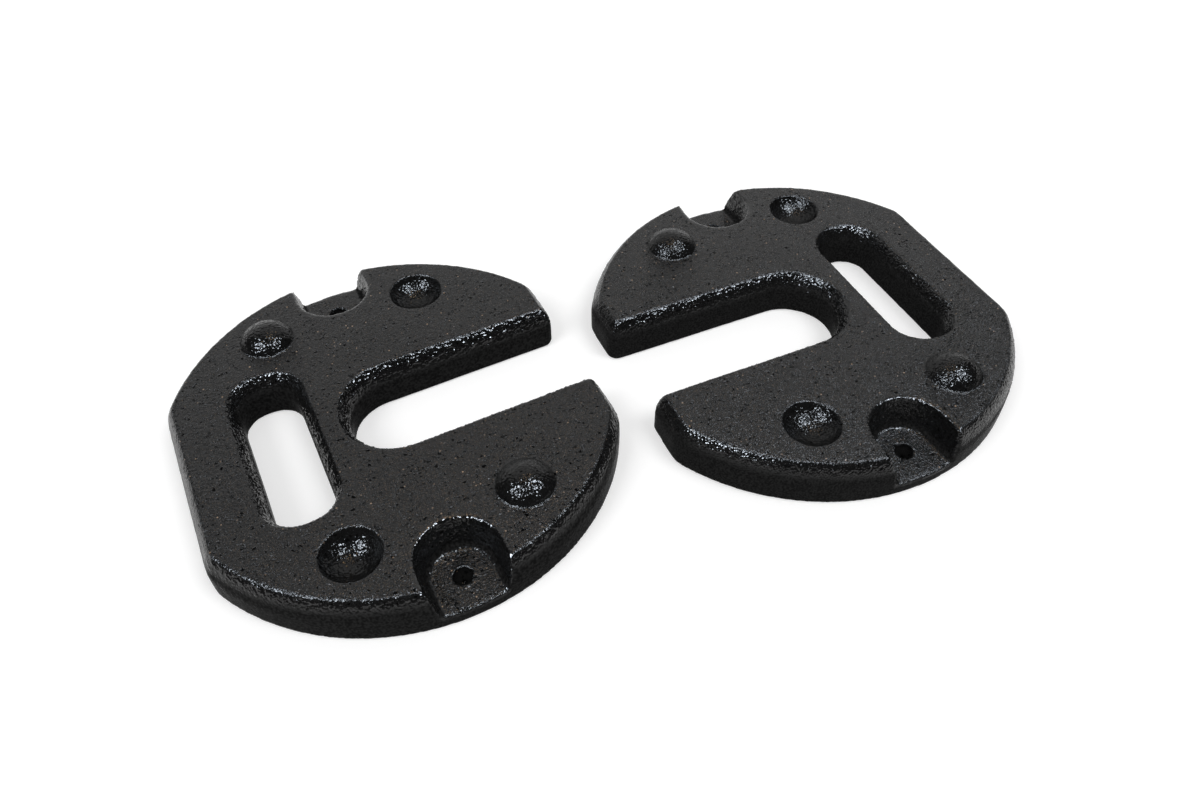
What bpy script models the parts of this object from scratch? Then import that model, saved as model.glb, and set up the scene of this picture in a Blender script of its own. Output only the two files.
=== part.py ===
"""A pair of gazebo weights, laid flat with the mouths of their leg slots facing each other.

Each weight is one solid iron casting. It is a round plate with a flat side, a slot that slips
round a gazebo's leg, a handle slot, two domes and two dimples that key it to a plate laid on it
face to face, and two pockets in the rim, each with a hole for a ground peg.
"""

import math

import bmesh
import bpy
from mathutils import Matrix

# All sizes are in metres. A plate's own frame has its origin on the ground, under the centre of
# the round rim, and +X runs out through the mouth of the leg slot.

# The plate seen from above
PLATE_DIAMETER = 0.300
FLAT_CUT = 0.0149             # how much the flat side cuts off the round rim
MOUTH_CUT = 0.0168            # how much the straight ends of the arms cut off it
CORNER_RADIUS = 0.022         # where the flat side and the arm ends meet the rim
TIP_TOP_RADIUS = 0.0012       # where the arm ends meet the leg slot, at the top face

# The plate's edge, the same all round the rim, the leg slot and the handle slot
PLATE_THICKNESS = 0.033
BASE_CHAMFER = 0.0012         # at the ground
WALL_HEIGHT = 0.016           # top of the upright wall
SHOULDER_INSET = 0.0066       # how far the edge of the top face lies inside the wall
SHOULDER_SWELL = 0.0017       # how far the shoulder bulges from a straight slope

# The leg slot
SLOT_WIDTH = 0.0638
WEB_WIDTH = 0.0252            # the bar between the leg slot and the handle slot

# The handle slot
GRIP_WIDTH = 0.0443           # the bar between the flat side and the handle slot
HANDLE_WIDTH = 0.0382
HANDLE_LENGTH = 0.120
HANDLE_END_FLAT = 0.0038      # the straight part of each end, between its corners

# Domes, dimples and pockets are laid out round a centre that lies a little behind the rim's.
LAYOUT_BACK = 0.0020

# Domes, and the dimples that take the domes of the other plate
DOME_RADIUS = 0.0181
DOME_HEIGHT = 0.011
DIMPLE_CLEARANCE = 0.0008
DOME_FROM_RIM = 0.0375        # rim to the centre of a dome or dimple
DOME_ANGLE = math.radians(61.0)  # from the leg slot's line, or from the handle's side of it

# Rim pockets and their peg holes
POCKET_RADIUS = 0.0258        # the round end at the top face
POCKET_WALL_LEAN = 0.0052     # how far the walls close in from the top face to the floor
POCKET_FROM_RIM = 0.0225      # rim to the centre of the round end
POCKET_FLOOR = 0.0105         # metal left under the pocket
PEG_HOLE_DIAMETER = 0.0125

# The pair
PAIR_GAP = 0.0253             # between the arm ends, along the left plate's slot
PAIR_STEP = 0.0439            # the right plate's shift across that slot
PAIR_TURN = math.radians(176.6)

# How finely round shapes are cut into facets
ARC_TOLERANCE = 0.0001        # most that a facet may stray from its arc
SHOULDER_FACETS = 4
DOME_SEGMENTS = 28
DOME_RINGS = 16
HOLE_SEGMENTS = 24
CUT_MARGIN = 0.010            # how far a cutter runs past the face that it cuts
WELD_DISTANCE = 0.0001        # corners that the cuts leave nearer than this are joined
SHARP_ANGLE = math.radians(35)

IRON_COLOUR = (0.020, 0.020, 0.021, 1.0)
IRON_ROUGHNESS = 0.42

RIM_RADIUS = PLATE_DIAMETER / 2
FLAT_DISTANCE = RIM_RADIUS - FLAT_CUT
MOUTH_DISTANCE = RIM_RADIUS - MOUTH_CUT
TIP_RADIUS = TIP_TOP_RADIUS + SHOULDER_INSET
HANDLE_MIDDLE = GRIP_WIDTH + HANDLE_WIDTH / 2 - FLAT_DISTANCE
HANDLE_CORNER = (HANDLE_WIDTH - HANDLE_END_FLAT) / 2
SLOT_END = HANDLE_MIDDLE + HANDLE_WIDTH / 2 + WEB_WIDTH + SLOT_WIDTH / 2
DIMPLE_RADIUS = DOME_RADIUS + DIMPLE_CLEARANCE
DIMPLE_DEPTH = DOME_HEIGHT + DIMPLE_CLEARANCE


def clear_scene():
    for obj in list(bpy.data.objects):
        bpy.data.objects.remove(obj, do_unlink=True)


def new_collection(name):
    collection = bpy.data.collections.new(name)
    bpy.context.scene.collection.children.link(collection)
    return collection


def black_iron(name):
    material = bpy.data.materials.new(name)
    material.use_nodes = True
    shader = material.node_tree.nodes["Principled BSDF"]
    shader.inputs["Base Color"].default_value = IRON_COLOUR
    shader.inputs["Roughness"].default_value = IRON_ROUGHNESS
    shader.inputs["Metallic"].default_value = 0.0
    return material


def arc(centre, radius, start, end, count):
    """Points from start to end, both included."""
    points = []
    for i in range(count + 1):
        angle = start + (end - start) * i / count
        points.append((centre[0] + radius * math.cos(angle), centre[1] + radius * math.sin(angle)))
    return points


def facets(radius, sweep):
    """How many facets keep an arc within the tolerance."""
    return max(2, math.ceil(sweep / (2 * math.acos(1 - ARC_TOLERANCE / radius))))


def corner_centre(x):
    """Centre of a corner's arc, which touches the rim, at the given distance along the slot."""
    return x, math.sqrt((RIM_RADIUS - CORNER_RADIUS) ** 2 - x ** 2)


def plate_outline(inset):
    """The plate's outline drawn in by inset, anticlockwise from the upper side of the mouth."""
    tip = (MOUTH_DISTANCE - TIP_RADIUS, SLOT_WIDTH / 2 + TIP_RADIUS)
    front = corner_centre(MOUTH_DISTANCE - CORNER_RADIUS)
    back = corner_centre(CORNER_RADIUS - FLAT_DISTANCE)
    front_angle = math.atan2(front[1], front[0])
    back_angle = math.atan2(back[1], back[0])
    tip_facets = facets(TIP_RADIUS, math.pi / 2)
    front_facets = facets(CORNER_RADIUS, front_angle)
    rim_facets = facets(RIM_RADIUS, back_angle - front_angle)
    back_facets = facets(CORNER_RADIUS, math.pi - back_angle)
    slot_facets = facets(SLOT_WIDTH / 2, math.pi)
    upper = arc(tip, TIP_RADIUS - inset, -math.pi / 2, 0, tip_facets)
    upper += arc(front, CORNER_RADIUS - inset, 0, front_angle, front_facets)[:-1]
    upper += arc((0, 0), RIM_RADIUS - inset, front_angle, back_angle, rim_facets)[:-1]
    upper += arc(back, CORNER_RADIUS - inset, back_angle, math.pi, back_facets)
    lower = [(x, -y) for x, y in reversed(upper)]
    slot_end = arc((SLOT_END, 0), SLOT_WIDTH / 2 + inset, -math.pi / 2, -3 * math.pi / 2, slot_facets)
    return upper + lower + slot_end


def handle_outline(inset):
    """The handle slot, which grows as the metal round it is drawn in."""
    reach_x = HANDLE_WIDTH / 2 - HANDLE_CORNER
    reach_y = HANDLE_LENGTH / 2 - HANDLE_CORNER
    quarter = math.pi / 2
    count = facets(HANDLE_CORNER, quarter)
    points = []
    for turn, (side_x, side_y) in enumerate(((1, 1), (-1, 1), (-1, -1), (1, -1))):
        centre = (HANDLE_MIDDLE + side_x * reach_x, side_y * reach_y)
        points += arc(centre, HANDLE_CORNER + inset, turn * quarter, (turn + 1) * quarter, count)
    return points


def pocket_outline(inset):
    """A pocket, round towards the plate's centre and running out past the rim towards +Y."""
    reach = POCKET_FROM_RIM + CUT_MARGIN
    radius = POCKET_RADIUS - inset
    count = facets(POCKET_RADIUS, math.pi)
    return arc((0, 0), radius, math.pi, 2 * math.pi, count) + [(radius, reach), (-radius, reach)]


def loft(sections):
    """A closed bmesh through level sections, each given as its height and its outlines."""
    bm = bmesh.new()
    rings = []
    for height, outlines in sections:
        rings.append([[bm.verts.new((x, y, height)) for x, y in outline] for outline in outlines])
    for lower, upper in zip(rings, rings[1:]):
        for below, above in zip(lower, upper):
            for i in range(len(below)):
                bm.faces.new((below[i - 1], below[i], above[i], above[i - 1]))
    for ring in (rings[0], rings[-1]):
        edges = [bm.edges.get((loop[i - 1], loop[i])) for loop in ring for i in range(len(loop))]
        bmesh.ops.triangle_fill(bm, edges=edges, use_beauty=True)
    bmesh.ops.recalc_face_normals(bm, faces=bm.faces)
    return bm


def shoulder_profile():
    """Inset and height up the shoulder, which is an arc of the given swell."""
    run = SHOULDER_INSET
    climb = PLATE_THICKNESS - WALL_HEIGHT
    half = math.hypot(run, climb) / 2
    radius = (half ** 2 + SHOULDER_SWELL ** 2) / (2 * SHOULDER_SWELL)
    sweep = math.asin(half / radius)
    lean = math.atan2(run, climb)
    points = []
    for i in range(SHOULDER_FACETS + 1):
        angle = sweep * (2 * i / SHOULDER_FACETS - 1)
        along = half + radius * math.sin(angle)
        across = radius * math.cos(angle) - (radius - SHOULDER_SWELL)
        inset = along * math.sin(lean) - across * math.cos(lean)
        height = WALL_HEIGHT + along * math.cos(lean) + across * math.sin(lean)
        points.append((inset, height))
    return points


def finish_mesh(bm, name):
    mesh = bpy.data.meshes.new(name)
    bm.to_mesh(mesh)
    bm.free()
    mesh.shade_smooth()
    mesh.set_sharp_from_angle(angle=SHARP_ANGLE)
    return mesh


def blank_mesh(name):
    """The plate before its domes, dimples, pockets and peg holes."""
    profile = [(BASE_CHAMFER, 0), (0, BASE_CHAMFER)] + shoulder_profile()
    sections = [(height, (plate_outline(inset), handle_outline(inset))) for inset, height in profile]
    return finish_mesh(loft(sections), name)


def ball_mesh(name, opening, depth, up):
    """A ball that stands out of the top face by depth, or sinks into it where up is -1."""
    radius = (opening ** 2 + depth ** 2) / (2 * depth)
    bm = bmesh.new()
    bmesh.ops.create_uvsphere(bm, u_segments=DOME_SEGMENTS, v_segments=DOME_RINGS, radius=radius)
    bmesh.ops.translate(bm, verts=bm.verts, vec=(0, 0, PLATE_THICKNESS + up * (depth - radius)))
    return finish_mesh(bm, name)


def pocket_mesh(name):
    floor = (POCKET_FLOOR, (pocket_outline(POCKET_WALL_LEAN),))
    mouth = (PLATE_THICKNESS, (pocket_outline(0),))
    above = (PLATE_THICKNESS + CUT_MARGIN, (pocket_outline(0),))
    return finish_mesh(loft((floor, mouth, above)), name)


def peg_hole_mesh(name):
    low = -CUT_MARGIN
    high = POCKET_FLOOR + CUT_MARGIN
    bm = bmesh.new()
    bmesh.ops.create_cone(bm, cap_ends=True, segments=HOLE_SEGMENTS, radius1=PEG_HOLE_DIAMETER / 2,
                          radius2=PEG_HOLE_DIAMETER / 2, depth=high - low)
    bmesh.ops.translate(bm, verts=bm.verts, vec=(0, 0, (low + high) / 2))
    return finish_mesh(bm, name)


def add_tool(plate, name, mesh, operation, x, y, turn, collection):
    """Cut the plate with a mesh, or join the mesh to it."""
    tool = bpy.data.objects.new(f"{plate.name}_{name}", mesh)
    tool.parent = plate
    tool.location = (x, y, 0)
    tool.rotation_euler.z = turn
    tool.hide_render = True
    tool.display_type = "WIRE"
    collection.objects.link(tool)
    modifier = plate.modifiers.new(name, "BOOLEAN")
    modifier.operation = operation
    modifier.solver = "EXACT"
    modifier.object = tool


def make_plate(name, location, turn, parts, tools):
    plate = bpy.data.objects.new(name, blank_mesh(name))
    plate.data.materials.append(black_iron(f"{name}_iron"))
    plate.location = location
    plate.rotation_euler.z = turn
    parts.objects.link(plate)

    ring = RIM_RADIUS - DOME_FROM_RIM
    dome_x = ring * math.cos(DOME_ANGLE)
    dome_y = ring * math.sin(DOME_ANGLE)
    pocket_y = RIM_RADIUS - POCKET_FROM_RIM
    for end in (1, -1):
        # A dome sits across the slot from each dimple, so plates laid face to face key together.
        x = end * dome_x - LAYOUT_BACK
        where = "front" if end > 0 else "back"
        dome = ball_mesh(f"{name}_{where}_dome", DOME_RADIUS, DOME_HEIGHT, 1)
        dimple = ball_mesh(f"{name}_{where}_dimple", DIMPLE_RADIUS, DIMPLE_DEPTH, -1)
        add_tool(plate, f"{where}_dome", dome, "UNION", x, -end * dome_y, 0, tools)
        add_tool(plate, f"{where}_dimple", dimple, "DIFFERENCE", x, end * dome_y, 0, tools)
    for side in (1, -1):
        where = "upper" if side > 0 else "lower"
        turned = 0 if side > 0 else math.pi
        pocket = pocket_mesh(f"{name}_{where}_pocket")
        hole = peg_hole_mesh(f"{name}_{where}_peg_hole")
        add_tool(plate, f"{where}_pocket", pocket, "DIFFERENCE", -LAYOUT_BACK, side * pocket_y, turned, tools)
        add_tool(plate, f"{where}_peg_hole", hole, "DIFFERENCE", -LAYOUT_BACK, side * pocket_y, 0, tools)
    weld = plate.modifiers.new("weld", "WELD")
    weld.merge_threshold = WELD_DISTANCE
    return plate


def pair_places():
    """Where each plate's centre lies when the pair's outline is centred on the origin."""
    right = (2 * MOUTH_DISTANCE + PAIR_GAP, -PAIR_STEP)
    outline = plate_outline(0)
    turn = Matrix.Rotation(PAIR_TURN, 2)
    points = list(outline)
    for x, y in outline:
        turned_x = turn[0][0] * x + turn[0][1] * y
        turned_y = turn[1][0] * x + turn[1][1] * y
        points.append((right[0] + turned_x, right[1] + turned_y))
    xs = [x for x, y in points]
    ys = [y for x, y in points]
    middle_x = (min(xs) + max(xs)) / 2
    middle_y = (min(ys) + max(ys)) / 2
    return (-middle_x, -middle_y, 0), (right[0] - middle_x, right[1] - middle_y, 0)


def main():
    clear_scene()
    parts = new_collection("gazebo_weights")
    tools = new_collection("cutters")
    left, right = pair_places()
    make_plate("left_plate", left, 0, parts, tools)
    make_plate("right_plate", right, PAIR_TURN, parts, tools)


main()
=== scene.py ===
"""The looks of a pair of gazebo weights: two iron castings in satin black paint, laid flat."""

import math

import bmesh
import bpy
import numpy as np
from mathutils import Matrix, Vector, noise


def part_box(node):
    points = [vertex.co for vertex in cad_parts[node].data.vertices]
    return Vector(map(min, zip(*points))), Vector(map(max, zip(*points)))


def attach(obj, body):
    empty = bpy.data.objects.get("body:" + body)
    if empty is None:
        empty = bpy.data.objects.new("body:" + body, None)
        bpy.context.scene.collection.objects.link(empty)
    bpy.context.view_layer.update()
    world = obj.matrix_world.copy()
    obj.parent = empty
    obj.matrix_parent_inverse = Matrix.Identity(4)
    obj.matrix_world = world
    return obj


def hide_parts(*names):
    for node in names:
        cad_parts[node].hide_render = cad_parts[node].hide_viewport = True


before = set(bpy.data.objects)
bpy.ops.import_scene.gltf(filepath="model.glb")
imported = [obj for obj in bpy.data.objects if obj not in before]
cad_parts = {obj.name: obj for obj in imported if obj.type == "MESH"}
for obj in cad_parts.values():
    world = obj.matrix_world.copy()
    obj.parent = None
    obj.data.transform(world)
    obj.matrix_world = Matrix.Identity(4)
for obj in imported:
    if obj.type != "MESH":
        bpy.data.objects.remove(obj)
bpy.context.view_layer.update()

# All sizes are in metres. A plate's own frame has its origin on the ground, under the centre of
# the round rim, and +X runs out through the mouth of the leg slot.

# The plate seen from above
RIM_RADIUS = 0.150
FLAT_DISTANCE = 0.1351          # rim centre to the flat side
MOUTH_DISTANCE = 0.1332         # rim centre to the straight ends of the arms
SLOT_WIDTH = 0.0638
SLOT_END = 0.0045               # centre of the leg slot's round end
HANDLE_MIDDLE = -0.0717
HANDLE_WIDTH = 0.0382
HANDLE_LENGTH = 0.120
HANDLE_CORNER = 0.0172

# The plate's edge
PLATE_THICKNESS = 0.033
WALL_TOP = 0.0155               # where the upright wall turns into the shoulder
WALL_WANDER = 0.0012            # how far that line wanders up and down
WANDER_SIZE = 0.010
SHOULDER_INSET = 0.0066         # how far the edge of the top face lies inside the wall

# Domes, dimples and pockets
LAYOUT_BACK = 0.0020            # how far behind the rim's centre they are laid out
DOME_RING = 0.1125              # rim centre to a dome or dimple
DOME_ANGLE = math.radians(61.0)
DOME_RADIUS = 0.0181
DOME_HEIGHT = 0.011
DOME_SPREAD = 0.0003            # paint and sand make a dome this much wider
DOME_FULLNESS = 0.7             # 1 is a shallow cap, 0.5 a half ball pressed flat
DIMPLE_CLEARANCE = 0.0008
DIMPLE_RADIUS = DOME_RADIUS + DIMPLE_CLEARANCE
DIMPLE_DEPTH = DOME_HEIGHT + DIMPLE_CLEARANCE
POCKET_MIDDLE = 0.1275          # rim centre to the middle of a pocket's round end
POCKET_RADIUS = 0.0258
POCKET_WALL_LEAN = 0.0052       # how far a pocket narrows from the top face to its floor
POCKET_FLOOR = 0.0105
PEG_HOLE_RADIUS = 0.00625

# The pair
PAIR_GAP = 0.0253               # between the arm ends of the two plates
PAIR_STEP = 0.0439              # how far the right plate is shifted along -Y
PAIR_TURN = math.radians(176.6)

# Along the rim, flat side, arm ends, leg slot and handle slot of each plate: how lumpy the
# shoulder is, and how much further down it is glossy. Each plate came from its own mould.
LUMPINESS = {"left_plate": (0.45, 0.15, 0.5, 1.0, 0.9), "right_plate": (0.5, 0.15, 0.3, 0.75, 0.5)}
GLOSS_RUN = {"left_plate": (0, 0, 0, 0.0045, 0.003), "right_plate": (0.0018, 0, 0, 0.003, 0.002)}
BLEND_REACH = 0.004             # over which one stretch turns into the next
DULL_BELOW = 0.023              # height up to which a shoulder is as dull as the wall
GLOSSY_ABOVE = 0.032
WET_FROM = 0.5                  # lumpiness from which the paint is at its glossiest

# Where one part of the surface fades into the next, from and to, measured from its outline
OUTLINE_FADE = (-0.001, 0.001)        # round a dome or dimple
POCKET_FADE = (0.0, 0.001)            # round a pocket
PEG_FADE = (0.0005, 0.0025)           # round a peg hole
CREASE_FADE = (0.001, 0.0035)         # from a pocket's lip and from the foot of its wall
CREASE_END = 0.002                    # how far from the rim those creases stop
SHOULDER_FADE = (-0.0012, 0.0006)     # inwards, about the edge of the top face
WALL_FADE = (-0.0015, 0.0015)         # upwards, about the top of the wall
SUNK_FADE = (-0.0016, -0.0004)        # upwards, just under the top face
DOME_FADE = (0.0001, 0.0012)          # upwards from the top face
POCKET_WALL_FADE = (0.0001, 0.0009)   # upwards from a pocket's floor
PEG_LIP_FADE = (0.0, 0.001)           # the same, for the lip of a peg hole
FLOOR_FADE = (-0.002, -0.0005)        # upwards, just under a pocket's floor
PEG_INSIDE_FADE = (-0.0015, 0.0)      # the same, for the inside of a peg hole
BASE_FADE = (0.0004, 0.0015)          # upwards from the ground, where the iron is flat

# How far the mould's sand left the iron proud: the size of the lumps, and their height
LUMP_SIZE = {"left_plate": 0.0013, "right_plate": 0.0010}
SEED_STEP = 17.3                # how far apart two seeds lie in the noise
LARGE_LUMP = 2.4                # size of the large lumps, in small ones
SAND = {                        # height of the small lumps, of the large ones, and all over
    "lumpy_shoulder": (0.00075, 0.00040, -0.0002),
    "ball": (0.00018, 0.00008, -0.0001),
    "bowl": (0.00026, 0.00015, 0.0),
    "pocket_wall": (0.00030, 0.00045, 0.0),
    "peg_hole": (0.0005, 0.0009, 0.0006),
}
WAVE_SIZE = 0.045               # the slow waves of every face
WAVE_HEIGHT = 0.00018
RUFFLE_SIZE = 0.007
RUFFLE_HEIGHT = 0.00008
DRAG_SIZE = 0.0016              # the lines that the mould dragged along the walls
DRAG_STRETCH = (12, 12, 1)
DRAG_HEIGHT = 0.00006
WALL_SINK = 0.0001
PEG_RAG_REACH = 0.0042          # how far ragged iron narrows the foot of a peg hole
PEG_RAG_FADE = (0.005, 0.008)   # the heights between which it ends

# How finely the castings are meshed. The lumpy stretches get half the spacing.
VOXEL = 0.00165
MERGE_DISTANCE = 0.000001
BUSY_LUMPINESS = 0.65           # from where a shoulder gets the finer mesh
BUSY_SHARE = 0.02               # how far a face belongs to a busy part before it gets it
SOFTENING = 0.5                 # how far one pass moves a corner to its neighbours' middle
SOFTENING_PASSES = 1            # takes the mesh's corners off everywhere
SPLIT_PASSES = 1                # evens out the corners that the finer mesh adds
EDGE_PASSES = 1                 # rounds the edge of the top face, as worn moulds do
EDGE_REACH = 0.0040             # how far that rounding reaches on each side of the edge
CREASE_PASSES = 3               # rounds a pocket's lip and the foot of its wall
BALL_REACH = 0.003              # how far round a dome or dimple the mesh is drawn to its shape
BALL_MARGIN = 0.001             # how far below a dimple's bottom that still holds

# How much each part of the paint shines
TOP_SHINE = 0.275
SHOULDER_SHINE = 0.45
BALL_SHINE = 0.20
WALL_SHINE = 0.003
MOTTLE = (0.5, 1.5)             # the least and the greatest shine of a grain, where 1 is the mean
SATIN = (0.22, 0.28)            # least and greatest roughness
GLOSS = (0.11, 0.16)

# The paint's colours
THICK_BLACK = (0.0050, 0.0050, 0.0051, 1)
THIN_BLACK = (0.0070, 0.0070, 0.0070, 1)
# Painted sheen: the walls' grey is lighter than the paint to stand in for their reflection of the white
# floor, on a dull wall with almost no gloss of its own.
WALL_SHEEN_DARK = (0.0070, 0.0070, 0.0070, 1)
WALL_SHEEN_LIGHT = (0.0185, 0.0185, 0.0185, 1)
# Painted shade: the pits are darker than the paint, where shade falls in them.
PIT_SHADE_BLACK = (0.0015, 0.0015, 0.0015, 1)
# Specks, partly real dust and partly painted warm glints that stand in for a warm lamp's reflection on
# small bumps.
GREY_DUST_AND_GLINT = (0.18, 0.17, 0.16, 1)
TAN_DUST_AND_GLINT = (0.30, 0.21, 0.14, 1)

# The paint's texture. A noise's own range is narrower than 0 to 1.
SMOOTH_RANGE = (0.35, 0.65)     # of the patches and ripples
GRAIN_RANGE = (0.3, 0.7)
PATCH_SIZE = 0.030
GRAIN_SIZE = 0.0008
GRAIN_HEIGHT = 0.00006
PEEL_SIZE = 1.3                 # of the orange peel, in the casting's own lumps
PEEL_HEIGHT = 0.0008
RIPPLE_SIZE = 1.2               # of the ripples in glossy paint, in the casting's own lumps
RIPPLE_HEIGHT = 0.0005
WALL_CALM = 0.7                 # the share of its orange peel that a wall loses
PIT_SPACING = 0.0028
PIT_SKIPPED = 0.4               # the share of the places that hold no pit
PIT_RADII = (0.24, 0.38)        # of a pit's bottom and of its mouth, in spacings
PIT_LEAST = 0.4                 # the faintest pit, where 1 is the deepest
PIT_DEPTH = 0.0004
PIT_RAG_SIZE = 0.0022           # of the noise that makes a pit's outline ragged
PIT_RAG_PUSH = (0.0045, 0.0030, 0.0030)
SPECK_SPACING = 0.0032          # the same, for the specks, partly dust and partly painted warm glints
SPECK_SKIPPED = 0.7
SPECK_RADII = (0.13, 0.21)

# The camera, at the photograph's place and angle
CAMERA_PLACE = (-0.2079, -0.3969, 0.4800)
CAMERA_HEADING = (0.4305, 0.9026)
CAMERA_PITCH = math.radians(47.2)
CAMERA_ROLL = math.radians(-1.48)
CAMERA_LENS = 27.77
CAMERA_SENSOR = 36.0
CAMERA_SHIFT = (0.01433, -0.0095)
NEAREST_SEEN = 0.01

# The studio. A lamp's bearings say how far it stands towards the camera, to the right and up.
WHITE = (1, 1, 1, 1)
COOL = (0.82, 0.90, 1.0)
WARM = (1.0, 0.66, 0.36)
ROOM_LIGHT = 0.45               # what the white room gives as light
LAMP_LIGHT = 0.34               # what each softbox gives
LAMP_WIDTH = math.radians(27)   # a softbox's angle across, seen from the plates
LEFT_LAMP = (0.44, -0.50, 0.745)
RIGHT_LAMP = (0.215, 0.454, 0.865)
WARM_LAMP = (-0.156, 0.0, 0.988)
GLINT_DISTANCE = 2.0
GLINT_WIDTH = math.radians(17)
GLINT_RADIANCE = 62
WARM_WIDTH = math.radians(6)
WARM_RADIANCE = 30
FLOOR_RADIUS = 6
FLOOR_COLOUR = (0.68, 0.68, 0.68, 1)
FLOOR_ROUGHNESS = 0.9
FLOOR_GLOW = 0.42               # added where the floor is seen, so that it renders white
DRAPE_COLOUR = (0.01, 0.01, 0.01, 1)
DRAPE_RADIUS = 3.5
DRAPE_LEFT = math.radians(-62)  # the drape's opening, from the camera's heading
DRAPE_RIGHT = math.radians(46)
DRAPE_TOP = math.radians(86)    # how high up it opens

UP = Vector((0, 0, 1))
HEADING = Vector((*CAMERA_HEADING, 0)).normalized()
RIGHTWARD = HEADING.cross(UP)


def ramp(value, low, high):
    """0 up to low, 1 from high, and a smooth step between them."""
    share = np.clip((value - low) / (high - low), 0, 1)
    return share * share * (3 - 2 * share)


def fade(value, level, span):
    """A ramp over a span that is measured from a level."""
    return ramp(value, level + span[0], level + span[1])


def lumps(points, size, seed, stretch=(1, 1, 1)):
    """Smooth noise from about -1 to 1, whose lumps are about twice the given size across."""
    scaled = points / (np.array(stretch) * size) + seed * SEED_STEP
    return np.array([noise.noise(point) for point in scaled])


def add_object(name, data):
    """A new object in the scene."""
    added = bpy.data.objects.new(name, data)
    bpy.context.scene.collection.objects.link(added)
    return added


def add_mesh(name, bm):
    """An object made of a bmesh, which is freed."""
    mesh = bpy.data.meshes.new(name)
    bm.to_mesh(mesh)
    bm.free()
    return add_object(name, mesh)


def edge_distances(x, y):
    """How far a point of the plate's own frame lies inside the rim, flat, arm ends, slot and handle."""
    rim = RIM_RADIUS - np.hypot(x, y)
    flat = x + FLAT_DISTANCE
    mouth = MOUTH_DISTANCE - x
    slot = np.hypot(np.minimum(x - SLOT_END, 0), y) - SLOT_WIDTH / 2
    across = np.abs(x - HANDLE_MIDDLE) - HANDLE_WIDTH / 2 + HANDLE_CORNER
    along = np.abs(y) - HANDLE_LENGTH / 2 + HANDLE_CORNER
    outside = np.hypot(np.maximum(across, 0), np.maximum(along, 0))
    handle = outside + np.minimum(np.maximum(across, along), 0) - HANDLE_CORNER
    return np.array([rim, flat, mouth, slot, handle])


def blended(values, shares):
    """One value for each stretch of the edge, mixed by how near a point is to each of them."""
    return (shares * np.array(values)[:, None]).sum(axis=0) / shares.sum(axis=0)


def to_plate(points, centre, turn):
    """World points in the plate's own frame."""
    east = points[:, 0] - centre[0]
    north = points[:, 1] - centre[1]
    x = math.cos(turn) * east + math.sin(turn) * north
    y = math.cos(turn) * north - math.sin(turn) * east
    return x, y, points[:, 2]


def dome_places():
    """The domes' centres in the plate's own frame. Each faces a dimple across the leg slot's line."""
    for end in (1, -1):
        x = end * DOME_RING * math.cos(DOME_ANGLE) - LAYOUT_BACK
        yield x, -end * DOME_RING * math.sin(DOME_ANGLE)


def round_marks(x, y, z, rim_distance):
    """How far each point belongs to a dome, dimple, pocket, pocket's crease and peg hole."""
    dome, dimple, pocket, crease, peg = np.zeros((5, len(x)))
    for dome_x, dome_y in dome_places():
        away = np.hypot(x - dome_x, y - dome_y)
        dome = np.maximum(dome, 1 - fade(away, DOME_RADIUS, OUTLINE_FADE))
        away = np.hypot(x - dome_x, y + dome_y)
        dimple = np.maximum(dimple, 1 - fade(away, DIMPLE_RADIUS, OUTLINE_FADE))

    depth = np.clip((PLATE_THICKNESS - z) / (PLATE_THICKNESS - POCKET_FLOOR), 0, 1)
    reach = POCKET_RADIUS - POCKET_WALL_LEAN * depth
    lip = (POCKET_RADIUS, PLATE_THICKNESS)
    foot = (POCKET_RADIUS - POCKET_WALL_LEAN, POCKET_FLOOR)
    for end in (1, -1):
        outward = end * y - POCKET_MIDDLE
        away = np.hypot(x + LAYOUT_BACK, np.minimum(outward, 0))
        inside = (1 - fade(away, reach, POCKET_FADE)) * (outward > -POCKET_RADIUS)
        pocket = np.maximum(pocket, inside)
        for radius, level in (lip, foot):
            distance = np.abs(away - radius) + np.abs(z - level)
            near = (1 - fade(distance, 0, CREASE_FADE)) * (rim_distance > CREASE_END)
            crease = np.maximum(crease, near)
        away = np.hypot(x + LAYOUT_BACK, outward)
        peg = np.maximum(peg, 1 - fade(away, PEG_HOLE_RADIUS, PEG_FADE))
    return dome, dimple, pocket, crease, peg


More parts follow.
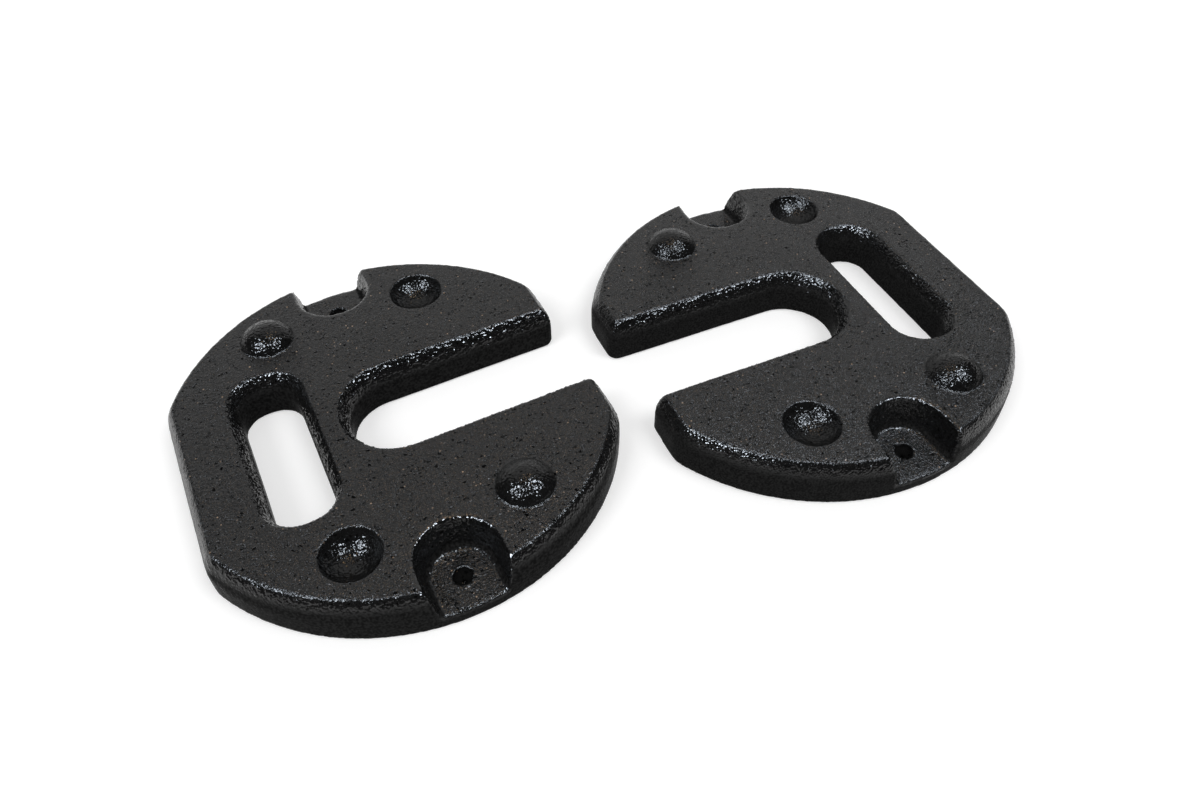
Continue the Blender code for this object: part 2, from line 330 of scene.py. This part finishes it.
def zones(points, node, centre, turn):
    """Each point's height, and how far it belongs to each part of the surface, from 0 to 1."""
    x, y, z = to_plate(points, centre, turn)
    edges = edge_distances(x, y)
    edge = edges.min(axis=0)
    shares = np.exp(-(edges - edge) / BLEND_REACH)
    lumpiness = blended(LUMPINESS[node], shares)
    dull = 1 - ramp(z + blended(GLOSS_RUN[node], shares), DULL_BELOW, GLOSSY_ABOVE)
    dome, dimple, pocket, crease, peg = round_marks(x, y, z, edges[0])

    sunk = 1 - fade(z, PLATE_THICKNESS, SUNK_FADE)
    over_floor = fade(z, POCKET_FLOOR, POCKET_WALL_FADE)
    pocket_floor = pocket * (1 - over_floor) * fade(z, POCKET_FLOOR, FLOOR_FADE)
    peg_inside = peg * (1 - fade(z, POCKET_FLOOR, PEG_INSIDE_FADE))
    wall_top = WALL_TOP + WALL_WANDER * lumps(points, WANDER_SIZE, seed=1)
    over_wall = fade(z, wall_top, WALL_FADE)
    shoulder = (1 - fade(edge, SHOULDER_INSET, SHOULDER_FADE)) * (1 - pocket) * over_wall
    return {
        "height": z,
        "lumpiness": lumpiness,
        "ball": dome * fade(z, PLATE_THICKNESS, DOME_FADE),
        "bowl": dimple * sunk,
        "pocket_wall": pocket * sunk * over_floor,
        "crease": crease,
        "peg_hole": peg * (1 - fade(z, POCKET_FLOOR, PEG_LIP_FADE)),
        "peg_inside": peg_inside,
        "shoulder": shoulder,
        "lumpy_shoulder": shoulder * lumpiness,
        "dull": dull * shoulder,
        "wall": (1 - over_wall) * (1 - pocket_floor) * (1 - peg_inside),
        "edge": (np.abs(edge - SHOULDER_INSET) < EDGE_REACH) & (z > PLATE_THICKNESS - 2 * EDGE_REACH),
    }


def soften(bm, verts, passes):
    """Move corners towards the middle of their neighbours."""
    axes = {"use_axis_x": True, "use_axis_y": True, "use_axis_z": True}
    for _ in range(passes):
        bmesh.ops.smooth_vert(bm, verts=verts, factor=SOFTENING, **axes)


def even_mesh(node):
    """The shape of a CAD node in even, fine quads."""
    bm = bmesh.new()
    bm.from_mesh(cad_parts[node].data)
    bmesh.ops.remove_doubles(bm, verts=bm.verts, dist=MERGE_DISTANCE)
    holder = add_mesh(node + "_holder", bm)
    remesh = holder.modifiers.new("voxels", "REMESH")
    remesh.mode = "VOXEL"
    remesh.voxel_size = VOXEL
    depsgraph = bpy.context.evaluated_depsgraph_get()
    fine = bpy.data.meshes.new_from_object(holder.evaluated_get(depsgraph))
    coarse = holder.data
    bpy.data.objects.remove(holder)
    bpy.data.meshes.remove(coarse)

    bm = bmesh.new()
    bm.from_mesh(fine)
    bpy.data.meshes.remove(fine)
    return bm


def split_lumpy(bm, node, centre, turn):
    """Halve the mesh's spacing where the casting is lumpy or closely shaped."""
    zone = zones(np.array([face.calc_center_median() for face in bm.faces]), node, centre, turn)
    busy = zone["shoulder"] * ((zone["lumpiness"] > BUSY_LUMPINESS) | zone["edge"])
    busy = busy + zone["ball"] + zone["bowl"] + zone["pocket_wall"] + zone["peg_hole"]
    edges = {edge for face, share in zip(bm.faces, busy) if share > BUSY_SHARE for edge in face.edges}
    edges = sorted(edges, key=lambda edge: edge.index)
    split = bmesh.ops.subdivide_edges(bm, edges=edges, cuts=1, use_grid_fill=True)
    added = [part for part in split["geom_inner"] if isinstance(part, bmesh.types.BMVert)]
    soften(bm, added, SPLIT_PASSES)


def true_balls(bm, centre, turn):
    """Draw the mesh to true domes and dimples, with a crisp line where they leave the top face."""
    points = np.array([vert.co for vert in bm.verts])
    x, y, z = to_plate(points, centre, turn)
    high = z > PLATE_THICKNESS - DIMPLE_DEPTH - BALL_MARGIN
    bm.verts.ensure_lookup_table()
    for dome_x, dome_y in dome_places():
        away = np.hypot(x - dome_x, y - dome_y)
        cap = np.maximum(1 - (away / (DOME_RADIUS + DOME_SPREAD)) ** 2, 0)
        rise = DOME_HEIGHT * cap ** DOME_FULLNESS
        for index in np.flatnonzero(high & (away < DOME_RADIUS + BALL_REACH)):
            bm.verts[index].co.z = PLATE_THICKNESS + rise[index]
        away = np.hypot(x - dome_x, y + dome_y)
        ball = (DIMPLE_RADIUS ** 2 + DIMPLE_DEPTH ** 2) / (2 * DIMPLE_DEPTH)
        drop = DIMPLE_DEPTH - ball + np.sqrt(np.maximum(ball ** 2 - away ** 2, 0))
        for index in np.flatnonzero(high & (away < DIMPLE_RADIUS + BALL_REACH)):
            bm.verts[index].co.z = PLATE_THICKNESS - max(drop[index], 0)


def flat_base(bm):
    """Make the underside, which is plain and flat, of a few large triangles."""
    lowest = min(vert.co.z for vert in bm.verts)
    under = [face for face in bm.faces if all(vert.co.z < lowest + VOXEL / 4 for vert in face.verts)]
    bmesh.ops.delete(bm, geom=under, context="FACES")
    outline = [edge for edge in bm.edges if edge.is_boundary]
    bmesh.ops.triangle_fill(bm, edges=outline, use_beauty=True)
    bmesh.ops.recalc_face_normals(bm, faces=bm.faces)


def fine_copy(node, centre, turn):
    """A fine mesh of a CAD node, finer where the casting is lumpy, with worn edges and true domes."""
    bm = even_mesh(node)
    soften(bm, bm.verts, SOFTENING_PASSES)
    split_lumpy(bm, node, centre, turn)
    zone = zones(np.array([vert.co for vert in bm.verts]), node, centre, turn)
    soften(bm, [vert for vert, near in zip(bm.verts, zone["edge"]) if near], EDGE_PASSES)
    soften(bm, [vert for vert, share in zip(bm.verts, zone["crease"]) if share > 0], CREASE_PASSES)
    true_balls(bm, centre, turn)
    flat_base(bm)
    return bm


def relief(points, zone, lump_size):
    """How far the mould's sand left each point proud of the clean shape."""
    small = lumps(points, lump_size, seed=2)
    large = lumps(points, LARGE_LUMP * lump_size, seed=3)
    drag = lumps(points, DRAG_SIZE, seed=5, stretch=DRAG_STRETCH)
    push = WAVE_HEIGHT * lumps(points, WAVE_SIZE, seed=4)
    push += RUFFLE_HEIGHT * lumps(points, RUFFLE_SIZE, seed=6)
    push += zone["wall"] * (DRAG_HEIGHT * drag - WALL_SINK)
    for part, (small_height, large_height, level) in SAND.items():
        push += zone[part] * (small_height * small + large_height * large + level)
    push += zone["peg_hole"] * (1 - ramp(zone["height"], *PEG_RAG_FADE)) * PEG_RAG_REACH
    return push * ramp(zone["height"], *BASE_FADE)


def read_vectors(elements, attribute):
    """One row of three numbers for each vertex."""
    flat = np.empty(len(elements) * 3, np.float32)
    elements.foreach_get(attribute, flat)
    return flat.reshape(-1, 3).astype(float)


def casting(name, node, centre, turn):
    """The plate as it comes from the mould: lumpy shoulders, dragged walls, ragged peg holes."""
    piece = add_mesh(name, fine_copy(node, centre, turn))
    mesh = piece.data
    points = read_vectors(mesh.vertices, "co")
    normals = read_vectors(mesh.vertex_normals, "vector")
    zone = zones(points, node, centre, turn)
    points += normals * relief(points, zone, LUMP_SIZE[node])[:, None]
    low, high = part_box(node)
    points = np.clip(points, low, high)
    mesh.vertices.foreach_set("co", points.astype(np.float32).ravel())
    mesh.update()
    mesh.shade_smooth()

    wet = zone["shoulder"] * ramp(zone["lumpiness"], 0, WET_FROM)
    wet += zone["pocket_wall"] + zone["bowl"] + zone["ball"] + zone["crease"]
    wall = np.clip(zone["wall"] + zone["dull"], 0, 1)
    shine = TOP_SHINE + (zone["shoulder"] + zone["crease"]) * (SHOULDER_SHINE - TOP_SHINE)
    shine += (zone["ball"] + zone["bowl"]) * (BALL_SHINE - TOP_SHINE)
    shine += wall * (WALL_SHINE - shine)
    shine *= 1 - zone["peg_inside"]
    for label, values in (("wet", np.clip(wet, 0, 1)), ("wall", wall), ("shine", shine)):
        attribute = mesh.attributes.new(label, "FLOAT", "POINT")
        attribute.data.foreach_set("value", values.astype(np.float32))
    return piece


class Nodes:
    """A material's node tree, built with short calls."""

    def __init__(self, name):
        self.material = bpy.data.materials.new(name)
        self.material.use_nodes = True
        self.tree = self.material.node_tree
        self.shader = self.tree.nodes["Principled BSDF"]
        self.place = self.add("ShaderNodeTexCoord").outputs["Object"]

    def add(self, kind, **settings):
        node = self.tree.nodes.new(kind)
        for key, value in settings.items():
            setattr(node, key, value)
        return node

    def feed(self, socket, value):
        """Set a socket to a number or colour, or link another node's output to it."""
        if isinstance(value, (int, float, tuple)):
            socket.default_value = value
        else:
            self.tree.links.new(value, socket)

    def noise(self, size, detail, output="Fac"):
        node = self.add("ShaderNodeTexNoise")
        self.feed(node.inputs["Vector"], self.place)
        self.feed(node.inputs["Scale"], 1 / size)
        self.feed(node.inputs["Detail"], detail)
        return node.outputs[output]

    def ragged_place(self, size, push):
        """The place on the piece, pushed about by noise, so that round spots come out ragged."""
        centred = self.add("ShaderNodeVectorMath", operation="SUBTRACT")
        self.feed(centred.inputs[0], self.noise(size, 1.0, "Color"))
        self.feed(centred.inputs[1], (0.5, 0.5, 0.5))
        pushed = self.add("ShaderNodeVectorMath", operation="MULTIPLY_ADD")
        self.feed(pushed.inputs[0], centred.outputs["Vector"])
        self.feed(pushed.inputs[1], push)
        self.feed(pushed.inputs[2], self.place)
        return pushed.outputs["Vector"]

    def cells(self, size, place):
        """Distance to the nearest of many scattered points, and two random numbers for it."""
        node = self.add("ShaderNodeTexVoronoi")
        self.feed(node.inputs["Vector"], place)
        self.feed(node.inputs["Scale"], 1 / size)
        channels = self.add("ShaderNodeSeparateColor")
        self.feed(channels.inputs["Color"], node.outputs["Color"])
        return node.outputs["Distance"], channels.outputs["Red"], channels.outputs["Green"]

    def zone(self, name):
        """How far a point belongs to a part of the surface, kept with the mesh."""
        return self.add("ShaderNodeAttribute", attribute_name=name).outputs["Fac"]

    def math(self, operation, first, second):
        node = self.add("ShaderNodeMath", operation=operation)
        self.feed(node.inputs[0], first)
        self.feed(node.inputs[1], second)
        return node.outputs["Value"]

    def times(self, first, second):
        return self.math("MULTIPLY", first, second)

    def rest(self, share):
        """What a share leaves of the whole."""
        return self.math("SUBTRACT", 1.0, share)

    def span(self, value, low, high, start=0.0, end=1.0):
        """A value that runs from start to end while another runs from low to high."""
        node = self.add("ShaderNodeMapRange")
        for socket, number in zip(list(node.inputs)[:5], (value, low, high, start, end)):
            self.feed(socket, number)
        return node.outputs["Result"]

    def mix(self, share, first, second):
        node = self.add("ShaderNodeMix", data_type="FLOAT")
        self.feed(node.inputs[0], share)
        self.feed(node.inputs[2], first)
        self.feed(node.inputs[3], second)
        return node.outputs[0]

    def blend(self, share, first, second):
        node = self.add("ShaderNodeMix", data_type="RGBA")
        self.feed(node.inputs[0], share)
        self.feed(node.inputs[6], first)
        self.feed(node.inputs[7], second)
        return node.outputs[2]

    def bump(self, height, distance, strength, normal=None):
        node = self.add("ShaderNodeBump")
        self.feed(node.inputs["Height"], height)
        self.feed(node.inputs["Distance"], distance)
        self.feed(node.inputs["Strength"], strength)
        if normal is not None:
            self.feed(node.inputs["Normal"], normal)
        return node.outputs["Normal"]


def scattered_pits(nodes, wall):
    """How deep each point lies in one of the pits that the sand left, on all but the walls."""
    place = nodes.ragged_place(PIT_RAG_SIZE, PIT_RAG_PUSH)
    gap, pick, depth = nodes.cells(PIT_SPACING, place)
    picked = nodes.math("GREATER_THAN", pick, PIT_SKIPPED)
    pit = nodes.times(picked, nodes.span(gap, *PIT_RADII, 1.0, 0.0))
    pit = nodes.times(pit, nodes.span(depth, 0.0, 1.0, PIT_LEAST, 1.0))
    return nodes.times(pit, nodes.rest(wall))


def scattered_dust_and_glints(nodes, wall, wet):
    """How far each point is a speck in the dry paint, partly dust and partly a painted warm glint, and
    the speck's colour.
    """
    gap, pick, tone = nodes.cells(SPECK_SPACING, nodes.place)
    picked = nodes.math("GREATER_THAN", pick, SPECK_SKIPPED)
    speck = nodes.times(picked, nodes.span(gap, *SPECK_RADII, 1.0, 0.0))
    speck = nodes.times(speck, nodes.times(tone, tone))
    speck = nodes.times(speck, nodes.rest(nodes.math("MAXIMUM", wall, wet)))
    return speck, nodes.blend(tone, GREY_DUST_AND_GLINT, TAN_DUST_AND_GLINT)


def black_paint(name, lump_size):
    """Satin black paint on rough iron: orange peel, pits with painted shade, specks of dust and painted
    glints, walls lighter as painted sheen, and gloss where it ran thick.
    """
    nodes = Nodes(name)
    wet = nodes.zone("wet")
    wall = nodes.zone("wall")
    patches = nodes.noise(PATCH_SIZE, detail=3)
    grain = nodes.noise(GRAIN_SIZE, detail=1)
    peel = nodes.noise(PEEL_SIZE * lump_size, detail=2)
    ripple = nodes.noise(RIPPLE_SIZE * lump_size, detail=0.5)
    pit = scattered_pits(nodes, wall)
    speck, dust_and_glint = scattered_dust_and_glints(nodes, wall, wet)

    paint = nodes.blend(nodes.span(patches, *SMOOTH_RANGE), THICK_BLACK, THIN_BLACK)
    # painted sheen on the walls and the dull lower shoulders, standing in for their reflection of the
    # floor
    wall_sheen = nodes.blend(nodes.span(ripple, *SMOOTH_RANGE), WALL_SHEEN_DARK, WALL_SHEEN_LIGHT)
    colour = nodes.blend(wall, paint, wall_sheen)
    # painted shade in the pits
    colour = nodes.blend(pit, colour, PIT_SHADE_BLACK)
    # specks of dust and painted glints over the paint
    nodes.feed(nodes.shader.inputs["Base Color"], nodes.blend(speck, colour, dust_and_glint))

    satin = nodes.span(grain, *GRAIN_RANGE, *SATIN)
    gloss = nodes.span(grain, *GRAIN_RANGE, *GLOSS)
    nodes.feed(nodes.shader.inputs["Roughness"], nodes.mix(wet, satin, gloss))
    mottle = nodes.times(nodes.span(grain, *GRAIN_RANGE, *MOTTLE), nodes.rest(pit))
    nodes.feed(nodes.shader.inputs["Specular IOR Level"], nodes.times(nodes.zone("shine"), mottle))

    dry = nodes.times(nodes.rest(nodes.times(wall, WALL_CALM)), nodes.rest(wet))
    normal = nodes.bump(peel, PEEL_HEIGHT, dry)
    normal = nodes.bump(ripple, RIPPLE_HEIGHT, wet, normal)
    normal = nodes.bump(grain, GRAIN_HEIGHT, dry, normal)
    normal = nodes.bump(nodes.rest(pit), PIT_DEPTH, dry, normal)
    nodes.feed(nodes.shader.inputs["Normal"], normal)
    return nodes.material


def place_camera():
    ahead = HEADING * math.cos(CAMERA_PITCH) - UP * math.sin(CAMERA_PITCH)
    above = RIGHTWARD.cross(ahead)
    tilted_right = RIGHTWARD * math.cos(CAMERA_ROLL) + above * math.sin(CAMERA_ROLL)
    tilted_up = above * math.cos(CAMERA_ROLL) - RIGHTWARD * math.sin(CAMERA_ROLL)
    lens = bpy.data.cameras.new("camera")
    lens.lens = CAMERA_LENS
    lens.sensor_width = CAMERA_SENSOR
    lens.shift_x, lens.shift_y = CAMERA_SHIFT
    lens.clip_start = NEAREST_SEEN
    camera = add_object("camera", lens)
    turned = Matrix((tilted_right, tilted_up, -ahead)).transposed().to_4x4()
    camera.matrix_world = Matrix.Translation(CAMERA_PLACE) @ turned
    bpy.context.scene.camera = camera


def hang_lamp(name, data, bearings):
    """A lamp that faces the plates, and the direction in which it stands from them."""
    near, right, up = bearings
    direction = (RIGHTWARD * right - HEADING * near + UP * up).normalized()
    lamp = add_object(name, data)
    lamp.rotation_euler = direction.to_track_quat("Z", "Y").to_euler()
    return lamp, direction


def soft_light(name, bearings):
    """Even light from a distant softbox."""
    data = bpy.data.lights.new(name, "SUN")
    data.angle = LAMP_WIDTH
    data.energy = LAMP_LIGHT * math.pi
    hang_lamp(name, data, bearings)


def glints(name, bearings, width, radiance, colour):
    """The image of a softbox, which shows in the gloss alone."""
    data = bpy.data.lights.new(name, "AREA")
    data.shape = "SQUARE"
    data.size = 2 * GLINT_DISTANCE * math.tan(width / 2)
    data.color = colour
    data.energy = radiance * math.pi * data.size ** 2
    lamp, direction = hang_lamp(name, data, bearings)
    lamp.location = direction * GLINT_DISTANCE
    lamp.visible_diffuse = False


def seen_share(tree):
    """1 for the rays that show a background: the camera's, those off gloss and those through glass."""
    path = tree.nodes.new("ShaderNodeLightPath")
    share = path.outputs["Is Camera Ray"]
    for ray in ("Is Glossy Ray", "Is Transmission Ray"):
        most = tree.nodes.new("ShaderNodeMath")
        most.operation = "MAXIMUM"
        tree.links.new(share, most.inputs[0])
        tree.links.new(path.outputs[ray], most.inputs[1])
        share = most.outputs["Value"]
    return share


def make_world():
    """A white room, dimmer as a source of light than as the background."""
    world = bpy.data.worlds.new("studio")
    bpy.context.scene.world = world
    world.use_nodes = True
    tree = world.node_tree
    background = tree.nodes["Background"]
    background.inputs["Color"].default_value = WHITE
    strength = tree.nodes.new("ShaderNodeMapRange")
    strength.inputs["To Min"].default_value = ROOM_LIGHT
    strength.inputs["To Max"].default_value = 1.0
    tree.links.new(seen_share(tree), strength.inputs["Value"])
    tree.links.new(strength.outputs["Result"], background.inputs["Strength"])


def make_floor():
    """A matte white floor, which keeps the plates' shadow."""
    bm = bmesh.new()
    bmesh.ops.create_circle(bm, cap_ends=True, segments=96, radius=FLOOR_RADIUS)
    floor = add_mesh("floor", bm)
    nodes = Nodes("white_floor")
    nodes.feed(nodes.shader.inputs["Base Color"], FLOOR_COLOUR)
    nodes.feed(nodes.shader.inputs["Roughness"], FLOOR_ROUGHNESS)
    nodes.feed(nodes.shader.inputs["Specular IOR Level"], 0.0)
    nodes.feed(nodes.shader.inputs["Emission Color"], WHITE)
    glow = nodes.times(seen_share(nodes.tree), FLOOR_GLOW)
    nodes.feed(nodes.shader.inputs["Emission Strength"], glow)
    floor.data.materials.append(nodes.material)


def make_drape():
    """A black drape round and over the room, open behind the plates, which only the paint mirrors."""
    bm = bmesh.new()
    bmesh.ops.create_uvsphere(bm, u_segments=144, v_segments=72, radius=DRAPE_RADIUS)
    opening = []
    for face in bm.faces:
        middle = face.calc_center_median()
        bearing = HEADING.xy.angle_signed(middle.xy)
        steepness = math.atan2(middle.z, middle.xy.length)
        if middle.z < 0 or (DRAPE_LEFT < bearing < DRAPE_RIGHT and steepness < DRAPE_TOP):
            opening.append(face)
    bmesh.ops.delete(bm, geom=opening, context="FACES")
    drape = add_mesh("black_drape", bm)
    drape.visible_camera = False
    drape.visible_diffuse = False
    drape.visible_shadow = False
    nodes = Nodes("black_drape")
    nodes.feed(nodes.shader.inputs["Base Color"], DRAPE_COLOUR)
    nodes.feed(nodes.shader.inputs["Specular IOR Level"], 0.0)
    drape.data.materials.append(nodes.material)


place_camera()
make_world()
make_floor()
make_drape()
soft_light("left_softbox", LEFT_LAMP)
soft_light("right_softbox", RIGHT_LAMP)
glints("left_glints", LEFT_LAMP, GLINT_WIDTH, GLINT_RADIANCE, COOL)
glints("right_glints", RIGHT_LAMP, GLINT_WIDTH, GLINT_RADIANCE, COOL)
glints("warm_glints", WARM_LAMP, WARM_WIDTH, WARM_RADIANCE, WARM)

low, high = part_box("left_plate")
left_centre = (low.x + FLAT_DISTANCE, (low.y + high.y) / 2)
right_centre = (left_centre[0] + 2 * MOUTH_DISTANCE + PAIR_GAP, left_centre[1] - PAIR_STEP)
for name, node, centre, turn in (
    ("left_casting", "left_plate", left_centre, 0),
    ("right_casting", "right_plate", right_centre, PAIR_TURN),
):
    piece = casting(name, node, centre, turn)
    piece.data.materials.append(black_paint(name + "_paint", LUMP_SIZE[node]))
    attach(piece, node)
    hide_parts(node)

bpy.context.scene.view_settings.view_transform = "Standard"
